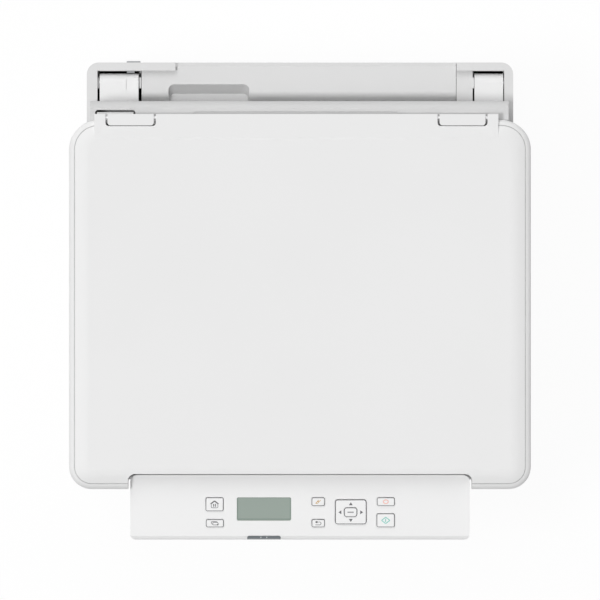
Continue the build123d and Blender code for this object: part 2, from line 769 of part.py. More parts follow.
def fan_frame():
    """Square fan casing on four posts of the right cover."""
    y, z, x1 = fan_y, fan_z, fan_back
    frame = block(x1 - 6, x1, y - 28, y + 28, z - 28, z + 28)
    frame -= rod(x1 - 10, x1 + 10, y, z, fan_radius + 1)
    frame += block(x1 - 6, x1 - 4.5, y - 22, y + 22, z - 2, z + 2)
    frame += block(x1 - 6, x1 - 4.5, y - 2, y + 2, z - 22, z + 22)
    frame += rod(x1 - 6, x1 + 4, y, z, 1.5)
    return frame


def power_button():
    """Square push button in the front of the right tower."""
    x0, x1, z0, z1 = button_box
    gap = key_gap
    cap = block(x0 + gap, x1 - gap, body_front - 1.6, body_front + wall + 1.5, z0 + gap, z1 - gap)
    cap = chamfer(cap.edges().filter_by(Axis.Y), 1.2)
    return cap + block(x0 - 3, x1 + 3, body_front + wall + 0.1, body_front + wall + 1.5, z0 - 3, z1 + 3)


def tray_height(y):
    """Height of the output tray's surface at a plan position."""
    return tray_rear_z + (tray_pivot_y + 4 - y) * tray_slope


stop_pivot_z = tray_height(stop_pivot_y) - 1.6


def tray_band(y0, y1, low, high):
    """A side outline that follows the tray's slope between two depths under its surface."""
    return [(y0, tray_height(y0) - low), (y1, tray_height(y1) - low), (y1, tray_height(y1) - high),
            (y0, tray_height(y0) - high)]


def toner_cover():
    """Output tray that is also the lid over the cartridge, with side flanges, ribs and the stop's pocket."""
    half = well_half - slide_gap
    back = tray_pivot_y + 4
    top = [(back, tray_rear_z), (tray_front_y, tray_front_z), (tray_front_y, tray_front_z - tray_thick),
           (back - 3, tray_rear_z - tray_thick)]
    cover = side_profile(top, -half, half)
    cover += side_profile([(tray_front_y, tray_front_z), (body_front, tray_front_z - 5),
                           (body_front, tray_front_z - 19), (body_front + wall, tray_front_z - 19),
                           (tray_front_y, tray_front_z - 8)], -half, half)
    flange = [(back - 2, tray_rear_z - 1), (tray_front_y, tray_front_z - 1), (tray_front_y, tray_front_z - 14),
              (tray_pivot_y, tray_pivot_z - 4), (back - 2, tray_pivot_z - 3)]
    for x in (-half, half - wall):
        cover += side_profile(flange, x, x + wall)
    for index in range(5):
        x = (index - 2) * well_half * 0.315
        cover += side_profile(tray_band(tray_front_y + 18, tray_pivot_y - 40, 0.5, -1.0), x - 1, x + 1)
    pocket_front = stop_pivot_y - 4.4
    pocket_end = stop_pivot_y + stop_length + 0.8
    pocket_half = stop_half + 0.4
    cover -= block(-pocket_half, pocket_half, pocket_front, pocket_end, tray_rear_z, body_top)
    pan = side_profile(tray_band(pocket_front - 1.6, pocket_end + 2.2, 6.2, 1.0), -stop_half - 2.4, stop_half + 2.4)
    pan -= side_profile(tray_band(pocket_front, pocket_end, 4.6, -9.0), -pocket_half, pocket_half)
    cover += pan
    cover -= rod(-stop_half - 2, stop_half + 2, stop_pivot_y, stop_pivot_z, stop_pin + bearing_gap)
    cover += rod(-well_half - wall, -half + 1, tray_pivot_y, tray_pivot_z, tray_pin)
    cover += rod(half - 1, well_half + wall, tray_pivot_y, tray_pivot_z, tray_pin)
    return cover


def paper_stop():
    """Fold-up stop flap in the output tray, lying in its pocket."""
    y0 = stop_pivot_y
    y1 = stop_pivot_y + stop_length
    flap = side_profile(tray_band(y0, y1, 2.6, 0.2), -stop_half, stop_half)
    flap += rod(-stop_half, stop_half, y0, stop_pivot_z, 1.4)
    flap += rod(-stop_half - 1.8, stop_half + 1.8, y0, stop_pivot_z, stop_pin)
    return flap


def tray_door():
    """Front door that folds down to hold the paper, with a grip and inner ribs."""
    face = block(-door_half, door_half, body_front, body_front + door_thick, door_pivot_z - 3.5, door_top)
    face = chamfer(face.faces().sort_by(Axis.Y)[0].edges(), 1.0)
    face -= block(-30, 30, body_front - 1, body_front + 2.0, door_top - 9, door_top + 1)
    for index in range(4):
        x = (index - 1.5) * door_half * 0.56
        face += block(x - 1, x + 1, body_front + door_thick, body_front + door_thick + 3, door_pivot_z + 15,
                      door_top - 6)
    face += rod(-door_half, door_half, door_pivot_y, door_pivot_z, 3.4)
    face += rod(-door_half - 3.8, door_half + 3.8, door_pivot_y, door_pivot_z, door_pin)
    return face


def lift_plate():
    """Sprung paper bed with guide slots."""
    plate = block(-bed_half, bed_half, bed_front, bed_back, bed_z, bed_z + bed_thick)
    plate = chamfer(plate.edges().filter_by(Axis.Z).sort_by(Axis.Y)[-2:], 5.0)
    plate += rod(-bed_half - 10, bed_half + 10, bed_front, bed_z + bed_thick / 2, bed_pin)
    for side in (-1, 1):
        y = guide_y + side * rack_offset
        plate -= block(-side * (guide_x + 1.6), -side * (guide_x - guide_travel - 2.8), y - 2.1, y + 2.1, rack_z,
                       bed_z + bed_thick + 1)
    plate += post(0, guide_y, rack_z - 1.0, bed_z, pinion_stub)
    return plate


def paper_guide(side):
    """Side guide with its rack under the bed; side -1 is left."""
    y = guide_y - side * rack_offset
    top = bed_z + bed_thick
    x = side * guide_x
    guide = block(x, x + side * 2, guide_y - guide_half, guide_y + guide_half, top + fit, top + guide_height)
    guide += block(x, x - side * 14, guide_y - guide_half + 2, guide_y + guide_half - 2, top + fit, top + fit + 1.5)
    guide += block(x + side, x - side * 2, y - 1.5, y + 1.5, rack_z, top + 1)
    guide += block(x - side, -side * 8, y - 2, y + 2, rack_z, rack_z + rack_height)
    pitch = math.pi * rack_module
    root = y + side * 1.9
    tip = y + side * (2 + 1.9 * rack_module)
    for index in range(int((guide_travel + 10) / pitch) + 1):
        centre = side * pitch * index
        tooth = [(centre - 0.30 * pitch, root), (centre - 0.12 * pitch, tip), (centre + 0.12 * pitch, tip),
                 (centre + 0.30 * pitch, root)]
        guide += Pos(0, 0, rack_z) * extrude(make_face(Polyline(*tooth, close=True)), amount=rack_height)
    return guide


def paper_guide_left():
    return paper_guide(-1)


def paper_guide_right():
    return paper_guide(1)


def guide_pinion():
    """Gear under the bed that moves both paper guides together."""
    wheel = gear(rack_teeth, rack_module, rack_height, pinion_stub + bearing_gap)
    return Pos(0, guide_y, rack_z) * (Rot(0, 0, 90 + 180 / rack_teeth) * wheel)


def pocket_tool(grow):
    """Cutter for the finger pocket, its rear wall leaning forward; grow moves its walls outwards."""
    front = scan_back - 2
    mouth = plan(pocket_left - grow, pocket_right + grow, front, pocket_back + grow, 0, 5.0 + grow)
    floor = plan(pocket_left + 1.3 - grow, pocket_right - 1.3 + grow, front, pocket_back - 7.9 + grow, 0,
                 4.0 + grow)
    lean = loft([Pos(0, 0, rear_cover_top - pocket_depth - grow) * floor, Pos(0, 0, rear_cover_top) * mouth],
                ruled=True)
    return lean + Pos(0, 0, rear_cover_top) * extrude(mouth, amount=1.0)


def rear_cover():
    """Rear door: back wall, top cap curving down under the scanner bar, finger pocket and end walls."""
    top = rear_cover_top
    slope_front = scan_back + 6
    left, right = rear_cover_left, rear_cover_right
    outer = [(body_back, rear_pivot_z - 4), (body_back, top - 3), (body_back - 3, top), (slope_back, top),
             (slope_front, top - slope_drop), (slope_front, top - slope_drop - 3),
             (slope_back, top - slope_drop), (body_back - 9, top - 20), (body_back - 9, rear_pivot_z - 4)]
    cover = side_profile(outer, left, right)
    bend = cover.edges().filter_by(Axis.X).sort_by(Axis.Z)[-2:].sort_by(Axis.Y)[0]
    cover = fillet(bend, 8.0)
    inner = [(body_back - wall, rear_pivot_z + 8), (body_back - wall, top - 4), (body_back - 4, top - wall),
             (slope_back - 1.5, top - wall), (slope_front + 4, top - slope_drop + 0.4),
             (slope_front + 4, top - 40), (body_back - 21, top - 40), (body_back - 21, rear_pivot_z + 8)]
    cover -= side_profile(inner, left + wall, right - wall) - pocket_tool(wall)
    cover -= pocket_tool(0)
    cover += rod(left, right, rear_pivot_y, rear_pivot_z, 4.5)
    cover += rod(left - 3.8, right + 3.8, rear_pivot_y, rear_pivot_z, rear_pin)
    return cover


def scanner_plan(inset, z0, z1):
    """The scanner's outline, drawn in by inset, raised from z0 to z1."""
    half = width / 2 - inset
    return slab(-half, half, scan_front + inset, scan_back - inset, scan_front_radius - inset,
                scan_back_radius - inset, z0, z1)


def notch_tool(grow, z0, z1):
    """Cutter for the panel notch; grow moves its walls outwards."""
    half = notch_half + grow
    return slab(-half, half, panel_front, notch_y + grow, 0, notch_radius + grow, z0, z1)


def scanner_base():
    """Lower scanner tub with its notch wall, carriage brackets, pulley posts and ribs."""
    floor = scan_bottom + wall
    tub = scanner_plan(0, scan_bottom, scan_split)
    tub = chamfer(tub.faces().sort_by(Axis.Z)[0].edges(), 2.0)
    tub -= notch_tool(0, scan_bottom - 1, scan_split + 1)
    tub -= scanner_plan(wall, floor, scan_split + 1) - notch_tool(wall, scan_bottom, height)
    for side in (-1, 1):
        x = side * rod_half
        tub += block(x - 2, x + 2, rod_y - 8, rod_y + 8, floor - 0.5, rod_z + 7)
        tub += post(side * belt_reach, belt_y, floor - 0.5, belt_z - 0.8, 3.5)
        tub += post(side * belt_reach, belt_y, floor - 0.5, belt_z + 6, pulley_post)
    tub -= rod(-rod_half, rod_half, rod_y, rod_z, rod_radius)
    for x0, x1 in (leg_left, leg_right):
        side = socket_wall + fit
        tub -= block(x0 - side, x1 + side, leg_front - leg_gap - side, scan_back + 1, leg_bottom - 4.3, scan_split + 1)
    for y in (glass_front + 56, glass_back - 51):
        tub += block(-glass_half - 10, glass_half + 10, y - 1, y + 1, floor - 0.5, floor + 3)
    return tub


def carriage_rod():
    return rod(-rod_half, rod_half, rod_y, rod_z, rod_radius)


def carriage_belt():
    """Toothed belt loop drawn as a thin band round its two pulleys."""
    outer = SlotCenterToCenter(2 * belt_reach, 2 * belt_radius + 2.4)
    inner = SlotCenterToCenter(2 * belt_reach, 2 * belt_radius)
    pieces = [Pos(0, belt_y, belt_z) * extrude(outer - inner, amount=4)]
    for x in (-belt_reach, belt_reach):
        pulley = post(x, belt_y, belt_z - 0.8, belt_z + 4.8, belt_radius)
        pieces.append(pulley - post(x, belt_y, belt_z - 2, belt_z + 6, pulley_post + bearing_gap))
    return pieces


def image_sensor():
    """Contact image sensor bar on its guide block, across the platen."""
    x = -sensor_start
    low = rod_z + 7
    top = glass_under - 0.4
    bar = block(x - 9, x + 9, glass_front + 4, glass_back - 4, low, top)
    bar += block(x - 12, x + 12, rod_y - 8, rod_y + 8, rod_z - 6, low + 2)
    bar -= block(x - 5, x + 5, glass_front + 8, glass_back - 8, top - 1, top + 1)
    bar -= rod(x - 20, x + 20, rod_y, rod_z, rod_radius + bearing_gap)
    bar += block(x - 8, x + 8, belt_y - belt_radius + 1.5, belt_y + belt_radius - 1.5, belt_z - 2, low + 1)
    return bar


def scanner_top_frame():
    """Upper scanner frame: platen window, and the rear bar with the hinge sockets."""
    frame = scanner_plan(0, scan_split, scan_top)
    frame -= notch_tool(0, scan_split - 1, scan_top + 1)
    frame -= scanner_plan(wall, scan_split - 1, frame_under) - notch_tool(wall, scan_bottom, height)
    bar = block(bar_left, bar_right, bar_front, bar_back, leg_bottom - 4, bar_top)
    bar = fillet(bar.edges().filter_by(Axis.X).sort_by(Axis.Y)[-2:].sort_by(Axis.Z)[-1], bar_round)
    bar -= block(bar_left - 1, bar_right + 1, bar_front - 1, scan_back + 0.2, leg_bottom - 5, scan_split)
    frame += bar
    for x0, x1 in (leg_left, leg_right):
        frame += block(x0 - socket_wall, x1 + socket_wall, leg_front - leg_gap - socket_wall, bar_back - 2,
                       leg_bottom - 4, frame_under + 1)
    lap = glass_lap
    frame -= block(-glass_half + lap, glass_half - lap, glass_front + lap, glass_back - lap, frame_under - 1,
                   scan_top + 1)
    frame -= slab(bar_recess[0], bar_recess[1], scan_back - 2, scan_back + 7.4, 0, 5.0, bar_top - 0.8, bar_top + 1)
    for (x0, x1), back in ((leg_left, leg_left_back), (leg_right, leg_right_back)):
        frame -= block(x0 - leg_gap, x1 + leg_gap, leg_front - leg_gap, back + leg_gap, leg_bottom - 2, bar_top + 1)
    frame -= slab(bar_left + 4.2, bar_left + 38.2, leg_front - leg_gap, scan_back + 8.6, 0, 2.5, bar_top - 25,
                  bar_top + 1)
    return frame


def platen_glass():
    return block(-glass_half, glass_half, glass_front, glass_back, glass_under, frame_under)


def scanner_hinge_arms():
    """Two flat-topped arms under the scanner's rear edge, each bored for its pin."""
    arms = []
    front = scan_back - 4
    top = scan_pivot_z + arm_radius
    for x0, x1 in (arm_left, arm_right):
        arm = block(x0, x1, front, scan_pivot_y, scan_pivot_z - arm_radius, top)
        arm += rod(x0, x1, scan_pivot_y, scan_pivot_z, arm_radius)
        arm += block(x0, x1, front, bar_back - 6, scan_pivot_z, scan_bottom)
        arm -= rod(x0 - 1, x1 + 1, scan_pivot_y, scan_pivot_z, arm_pin_radius + bearing_gap)
        if x0 < 0:
            arm -= block(hinge_stop_x[0] - 0.7, hinge_stop_x[1] + 0.7, scan_pivot_y - 5.8, body_back, top - 1.2,
                         top + 1)
        arms.append(arm)
    return arms


def lid_hinge_legs():
    """Two sliding hinge legs with knuckles and pins."""
    legs = []
    for (x0, x1), (c0, c1), back in ((leg_left, cut_left, leg_left_back), (leg_right, cut_right, leg_right_back)):
        k0, k1 = c0 + knuckle_side_gap, c1 - knuckle_side_gap
        leg = block(x0, x1, leg_front, back, leg_bottom, bar_top - 1)
        leg += block(max(x0, k0), min(x1, k1), leg_front + 1, strip_back - 1.5, bar_top - 2, height - 5)
        leg += slab(k0, k1, knuckle_front, strip_back, 2.5, 0, height - 6, height)
        legs.append(leg + rod(c0 - 4, c1 + 4, lid_axis_y, lid_axis_z, lid_pin_radius))
    return legs


def lid_dome():
    """The lid's rounded top: a lofted edge that rolls off gently, then turns down."""
    rings = [(0.0, lid_edge), (0.5, 5.1), (1.8, 3.5)]
    for index in range(4):
        inset = groove_inset + (lid_roll - groove_inset) * index / 3
        rings.append((inset, roll_drop * (1 - inset / lid_roll) ** 2))
    sections = []
    for inset, drop in rings:
        outline = plan(-width / 2 + inset, width / 2 - inset, scan_front + inset, scan_back - inset,
                       scan_front_radius - inset, scan_back_radius - inset)
        sections.append(Pos(0, 0, height - drop) * outline)
    return loft(sections)


def lid_cover():
    """Lid shell with a rolled-off edge, a groove round it, the panel notch and the flush rear strip."""
    body = scanner_plan(0, lid_bottom, height - lid_edge) + lid_dome()
    groove_z = height - roll_drop * (1 - groove_inset / lid_roll) ** 2 - 0.6
    body -= scanner_plan(groove_inset - 0.4, groove_z, height) - scanner_plan(groove_inset + 0.4, groove_z, height)
    body += block(strip_left, strip_right, strip_front, strip_back, height - strip_thick, height)
    body -= slab(-notch_half, notch_half, panel_front, notch_y + lid_notch_gap, 0, notch_radius, lid_bottom - 1,
                 height + 1)
    inner_front = notch_y + lid_notch_gap + wall
    body -= block(-lid_cavity, lid_cavity, inner_front, lid_cavity_back, lid_bottom - 1, height - 9)
    body -= block(-lid_cavity + 10, lid_cavity - 10, inner_front + 5.5, lid_cavity_back - 10, lid_bottom - 1,
                  height - wall)
    body -= block(bar_left - 0.6, bar_right + 0.6, bar_front - 0.6, scan_back + 1, lid_bottom - 1, bar_top + 0.6)
    wall_front = knuckle_front - knuckle_gap
    ramp = [(cut_front, height), (wall_front, height - 0.8), (wall_front + 1, height - 0.8),
            (wall_front + 1, height + 1), (cut_front, height + 1)]
    for x0, x1 in (cut_left, cut_right):
        body -= slab(x0, x1, wall_front, strip_back + 2, 3.0, 0, lid_bottom - 1, height + 1)
        body -= side_profile(ramp, x0 + 1, x1 - 1)
        body -= rod(x0 - 4.2, x1 + 4.2, lid_axis_y, lid_axis_z, lid_pin_radius + bearing_gap)
    return body


def lid_inner_plate():
    """Plate that closes the lid shell and carries the pad."""
    return block(-lid_cavity, lid_cavity, notch_y + lid_notch_gap + wall, lid_cavity_back, pad_top,
                 pad_top + inner_plate_thick)


def lid_pad():
    """White foam-backed pad that presses the sheet on the glass."""
    lap = glass_lap + pad_margin
    return block(-glass_half + lap, glass_half - lap, glass_front + lap, glass_back - lap, frame_under + 0.4, pad_top)


def panel_outline(inset):
    """Side outline of the panel housing."""
    front = panel_front + inset
    drop = inset / panel_cos
    top_front = panel_height(front) - drop
    return [(notch_y, panel_rear_z - drop), (front + 3, panel_height(front + 3) - drop),
            (front + 0.8, top_front - 0.8), (front, top_front - 3), (front, panel_bottom + inset + 4),
            (front + 3, panel_bottom + inset), (notch_y, panel_under + inset)]


def panel_solid(inset):
    """Panel body with rounded plan corners at the front."""
    side = panel_half - inset
    body = side_profile(panel_outline(inset), -side, side)
    corners = max(panel_corner - inset, 1.0)
    return body & slab(-side, side, panel_front + inset, notch_y, corners, notch_radius, scan_bottom, height)


def panel_housing():
    """Sloping control panel shell with its key, display and lamp openings."""
    shell = panel_solid(0) - panel_solid(panel_wall)
    shell += panel_solid(0) & block(-panel_half, panel_half, notch_y - wall, notch_y, scan_bottom, height)
    for box in key_boxes.values():
        shell -= key_prism(box, 0, -6, 6)
    shell -= key_prism(nav_box, 0, -6, 6, nav_corner)
    shell -= key_prism(lcd_box, 0, -6, 6, lcd_corner)
    shell -= led_block(0)
    for x in (-panel_half + 33.4, 1, panel_half - 43.4):
        for front in (5.5, 41.5):
            boss = on_panel(x - 2, x + 2, front, front + 4)
            shell += key_prism(boss, 0, -panel_wall - board_drop, -panel_wall, 0)
    return shell


def key_prism(box, inset, low, high, corner=None):
    """A prism square to the panel over a plan box, drawn in by inset, with its own corner radius."""
    x0, x1, y0, y1 = box
    across = x1 - x0 - 2 * inset
    along = (y1 - y0) / panel_cos - 2 * inset
    radius = key_corner - inset if corner is None else corner
    face = RectangleRounded(across, along, radius) if radius > 0 else Rectangle(across, along)
    prism = Pos(0, 0, low) * extrude(face, amount=high - low)
    return panel_frame((x0 + x1) / 2, (y0 + y1) / 2) * prism


def centre_box(box, size):
    """A small plan box in the middle of another."""
    x = (box[0] + box[1]) / 2
    y = (box[2] + box[3]) / 2
    return (x - size / 2, x + size / 2, y - size / 2, y + size / 2)


def key_stem(box):
    """The stem under a key, its foot one travel above the switch."""
    foot = -panel_wall - board_drop + switch_height + key_travel + 0.1
    return key_prism(centre_box(box, 3.0), 0, foot, -panel_wall, 0)


def push_key(box):
    """A push key: cap through the housing, flange behind it and a stem over its switch."""
    low = -panel_wall - key_flange - 0.1
    key = key_prism(box, key_gap, low, key_rise)
    key += key_prism(box, -key_flange, low, -panel_wall - 0.1, 0)
    return key + key_stem(box)


def nav_ring():
    """Four-way rocking ring round the centre key."""
    ring = key_prism(nav_box, 0.7, nav_top, key_rise + 0.3, nav_corner - 0.7)
    ring += key_prism(nav_box, -key_flange, nav_top - nav_flange, nav_top, 0)
    ring -= key_prism(ok_box, -0.1, -20, 20, ok_corner + 0.1)
    return ring


def ridge(x, y, depth, along_x):
    """A round rocker ridge, its axis in the panel's plane at a depth under the surface."""
    turn = Rot(0, 90, 0) if along_x else Rot(90, 0, 0)
    return panel_frame(x, y) * (Pos(0, 0, depth) * turn * Cylinder(nav_pivot - 0.05, 3.0))


def nav_frame():
    """Gimbal frame under the rocking ring, with two rocker ridges."""
    frame = key_prism(nav_box, -key_flange, gimbal_top - gimbal_thick, gimbal_top, 0)
    frame -= key_prism(nav_box, 2.5, -20, 20, 0)
    middle = (nav_box[2] + nav_box[3]) / 2
    for x in (nav_box[0] + 0.7, nav_box[1] - 0.7):
        frame += ridge(x, middle, gimbal_top, True)
    return frame


def ok_key():
    """Round-cornered centre key."""
    return key_prism(ok_box, 0.35, -panel_wall - 0.8, key_rise + 0.6, ok_corner - 0.35) + key_stem(ok_box)


def panel_board():
    """Key board behind the panel, with one switch under each key and two rocker ridges."""
    drop = panel_wall + board_drop
    board = key_prism(on_panel(-panel_half + 18.4, panel_half - 10.4, 3.5, 46.5), 0, -drop - board_thick, -drop, 0)
    for box in list(key_boxes.values()) + [ok_box]:
        board += key_prism(centre_box(box, 5.0), 0, -drop - 0.1, -drop + switch_height, 0)
    centre = (nav_box[0] + nav_box[1]) / 2
    depth = gimbal_top - gimbal_thick - nav_pivot
    for y in (nav_box[2] + 0.7, nav_box[3] - 0.7):
        board += key_prism((centre - 0.5, centre + 0.5, y - 1.5, y + 1.5), 0, -drop - 0.1, depth, 0)
        board += ridge(centre, y, depth, False)
    return board


def lcd_window():
    """Display window with its module, just below the panel surface."""
    window = key_prism(lcd_box, 0.1, -panel_wall, -0.6, lcd_corner - 0.1)
    return window + key_prism(lcd_box, -2.0, -panel_wall - 2.4, -panel_wall, 0)


def led_block(inset):
    """The stretch of the panel's front edge that the lamp lens takes."""
    low = panel_height(panel_front) - led_height + inset
    return slab(led_span[0] + inset, led_span[1] - inset, panel_front - 1, panel_front + led_depth - inset, 0,
                1.5 - inset, low, height)


def led_lens():
    """Lamp lens that wraps the panel's front edge."""
    return (panel_solid(0) - panel_solid(panel_wall)) & led_block(0.1)


nodes = {
    "bottom_frame": bottom_frame,
    "rubber_feet": rubber_feet,
    "left_cover": left_cover,
    "right_cover": right_cover,
    "front_cover": front_cover,
    "rear_housing": rear_housing,
    "hinge_stop": hinge_stop,
    "scanner_hinge_pins": scanner_hinge_pins,
    "side_frames": side_frames,
    "exit_guide": exit_guide,
    "fuser_housing": fuser_housing,
    "laser_unit": laser_unit,
    "toner_cartridge": toner_cartridge,
    "drive_motor": drive_motor,
    "main_board": main_board,
    "power_supply": power_supply,
    "power_inlet": power_inlet,
    "fan_frame": fan_frame,
    "cooling_fan": cooling_fan,
    "power_button": power_button,
    "drum": drum,
    "idler_gear": idler_gear,
    "motor_pinion": motor_pinion,
    "feed_roller": feed_roller,
    "transfer_roller": transfer_roller,
    "heat_roller": heat_roller,
    "pressure_roller": pressure_roller,
    "delivery_roller": delivery_roller,
    "toner_cover": toner_cover,
    "paper_stop": paper_stop,
    "tray_door": tray_door,
    "lift_plate": lift_plate,
    "paper_guide_left": paper_guide_left,
    "paper_guide_right": paper_guide_right,
    "guide_pinion": guide_pinion,
    "rear_cover": rear_cover,
    "scanner_base": scanner_base,
    "scanner_top_frame": scanner_top_frame,
    "platen_glass": platen_glass,
    "scanner_hinge_arms": scanner_hinge_arms,
    "carriage_rod": carriage_rod,
    "carriage_belt": carriage_belt,
    "image_sensor": image_sensor,
    "lid_hinge_legs": lid_hinge_legs,
    "lid_cover": lid_cover,
    "lid_inner_plate": lid_inner_plate,
    "lid_pad": lid_pad,
    "panel_housing": panel_housing,
    "panel_board": panel_board,
    "lcd_window": lcd_window,
    "led_lens": led_lens,
    "nav_ring": nav_ring,
    "nav_frame": nav_frame,
    "ok_key": ok_key,
}
for key_name, key_box in key_boxes.items():
    nodes[key_name] = lambda box=key_box: push_key(box)

os.makedirs("parts", exist_ok=True)
for name, make in nodes.items():
    shape = make()
    solids = []
    for piece in shape if isinstance(shape, list) else [shape]:
        solids.extend(piece.solids())
    export_step(Compound(children=solids) if len(solids) > 1 else solids[0], f"parts/{name}.step")
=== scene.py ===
import math

import bmesh
import bpy
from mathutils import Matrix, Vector


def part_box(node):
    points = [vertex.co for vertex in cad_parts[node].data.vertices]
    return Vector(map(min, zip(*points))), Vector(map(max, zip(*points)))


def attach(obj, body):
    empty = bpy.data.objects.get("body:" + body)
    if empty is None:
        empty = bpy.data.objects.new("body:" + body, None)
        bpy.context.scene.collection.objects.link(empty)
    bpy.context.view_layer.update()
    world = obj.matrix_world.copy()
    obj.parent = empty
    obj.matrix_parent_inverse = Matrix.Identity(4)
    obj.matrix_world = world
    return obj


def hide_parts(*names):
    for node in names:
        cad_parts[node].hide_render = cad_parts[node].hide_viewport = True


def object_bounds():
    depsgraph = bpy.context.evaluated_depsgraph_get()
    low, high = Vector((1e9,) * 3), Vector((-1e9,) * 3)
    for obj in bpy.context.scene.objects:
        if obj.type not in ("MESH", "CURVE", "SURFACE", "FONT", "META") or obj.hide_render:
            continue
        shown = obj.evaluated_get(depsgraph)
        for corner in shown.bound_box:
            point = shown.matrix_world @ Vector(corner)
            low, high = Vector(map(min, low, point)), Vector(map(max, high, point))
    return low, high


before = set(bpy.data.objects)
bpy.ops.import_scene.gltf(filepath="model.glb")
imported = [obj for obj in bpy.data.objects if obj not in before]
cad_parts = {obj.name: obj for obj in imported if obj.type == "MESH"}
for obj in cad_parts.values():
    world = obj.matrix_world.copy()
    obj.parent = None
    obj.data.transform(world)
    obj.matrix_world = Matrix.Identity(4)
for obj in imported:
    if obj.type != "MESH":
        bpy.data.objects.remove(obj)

cad_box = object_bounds()

# Heights and places in metres, angles in radians
MM = 0.001
LID_TOP = cad_box[1][2]
PANEL_TILT = math.radians(12.0)
PANEL_REAR_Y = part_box("panel_housing")[1][1]
PANEL_REAR_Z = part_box("panel_housing")[1][2]
KEY_RISE = 0.9 * MM
RING_RISE = 1.2 * MM
OK_RISE = 1.5 * MM
SCREEN_DROP = 0.6 * MM
MARK_LIFT = 0.02 * MM
MARK_THICK = 0.05 * MM

# Camera: width seen in metres, lens and sensor in millimetres
VIEW_WIDTH = 506.6 * MM
LENS = 1500.0
SENSOR = 36.0
CAMERA_REACH = 1000.0

# The lid's rounded outline and rolled-off edge, in millimetres
LID_HALF = 195.0
LID_FRONT = -159.7
LID_BACK = 152.0
FRONT_RADIUS = 19.0
BACK_RADIUS = 25.0
ROLL_START = 4.9
ROLL_END = 17.0
ROLL_DROP = 4.2
ROLL_REACH = 0.6
CREASE = math.radians(32)
WELD = 0.002

# Floor of the groove round the lid, where the strip of painted shade lies, in millimetres from its edge and
# down from its top
GROOVE_OUTER = 4.1
GROOVE_INNER = 5.3
GROOVE_DROP = 2.83
GROOVE_FLATNESS = 0.03

# Plan boxes of the keys in millimetres: left, right, front and rear
KEY_BOXES = {
    "home_key": (-79.9, -64.5, -178.4, -166.5),
    "id_copy_key": (-79.7, -64.3, -192.0, -185.0),
    "reset_key": (9.7, 21.1, -174.0, -166.5),
    "back_key": (9.7, 21.1, -192.0, -184.9),
    "stop_key": (64.8, 80.2, -174.0, -166.5),
    "start_key": (64.6, 80.2, -192.0, -180.1),
}
OK_BOX = (37.1, 48.4, -183.2, -174.9)
RING_BOX = (29.4, 56.4, -189.5, -168.2)

# Painted shade along the keys' edges, a dark border standing in for the shade in the gaps round them: stroke,
# distance from the key's edge and corner radius, in millimetres
GAP_SHADE_STROKE = 0.45
GAP_SHADE_INSET = 0.25
RING_GAP_SHADE_INSET = 0.4
KEY_CORNER = 1.3
OK_CORNER = 2.2
RING_CORNER = 2.0
LEAST_CORNER = 0.2
CORNER_STEPS = 6

# Lamps: name, energy, spread in degrees and direction of travel
LAMPS = (
    ("key_lamp", 1.33, 12, (0.34, 0.06, -1.0)),
    ("rear_lamp", 1.05, 42, (0.20, -0.80, -1.0)),
)
SKY_STRENGTH = 0.325

# Floor: edge length, how far it looks white to the camera, and its colour
FLOOR_SIZE = 40.0
FLOOR_GLOW = 0.95
FLOOR_WHITE = (0.9, 0.9, 0.9)

# Surface texture: broad blotches, swing in roughness and depth of the grain in metres
BLOTCH_SCALE = 9.0
ROUGH_SWING = 0.06
GRAIN_DEPTH = 0.05 * MM

# Colours, linear
LID_WHITE = (0.803, 0.803, 0.803)
BODY_WHITE = (0.69, 0.69, 0.69)
# The scanner's top frame is darker than the body and lid: painted shade for the shade on the bar behind the
# lid
BAR_SHADED_WHITE = (0.61, 0.61, 0.61)
PANEL_WHITE = (0.905, 0.905, 0.905)
KEY_WHITE = (0.915, 0.915, 0.915)
# Grey for printed marks and for the painted shade along the key edges
PRINT_AND_SHADE_GREY = (0.13, 0.13, 0.14)


def shader(name):
    """A new material, its nodes and links, and its shader node."""
    material = bpy.data.materials.new(name)
    material.use_nodes = True
    tree = material.node_tree
    return material, tree.nodes, tree.links, tree.nodes["Principled BSDF"]


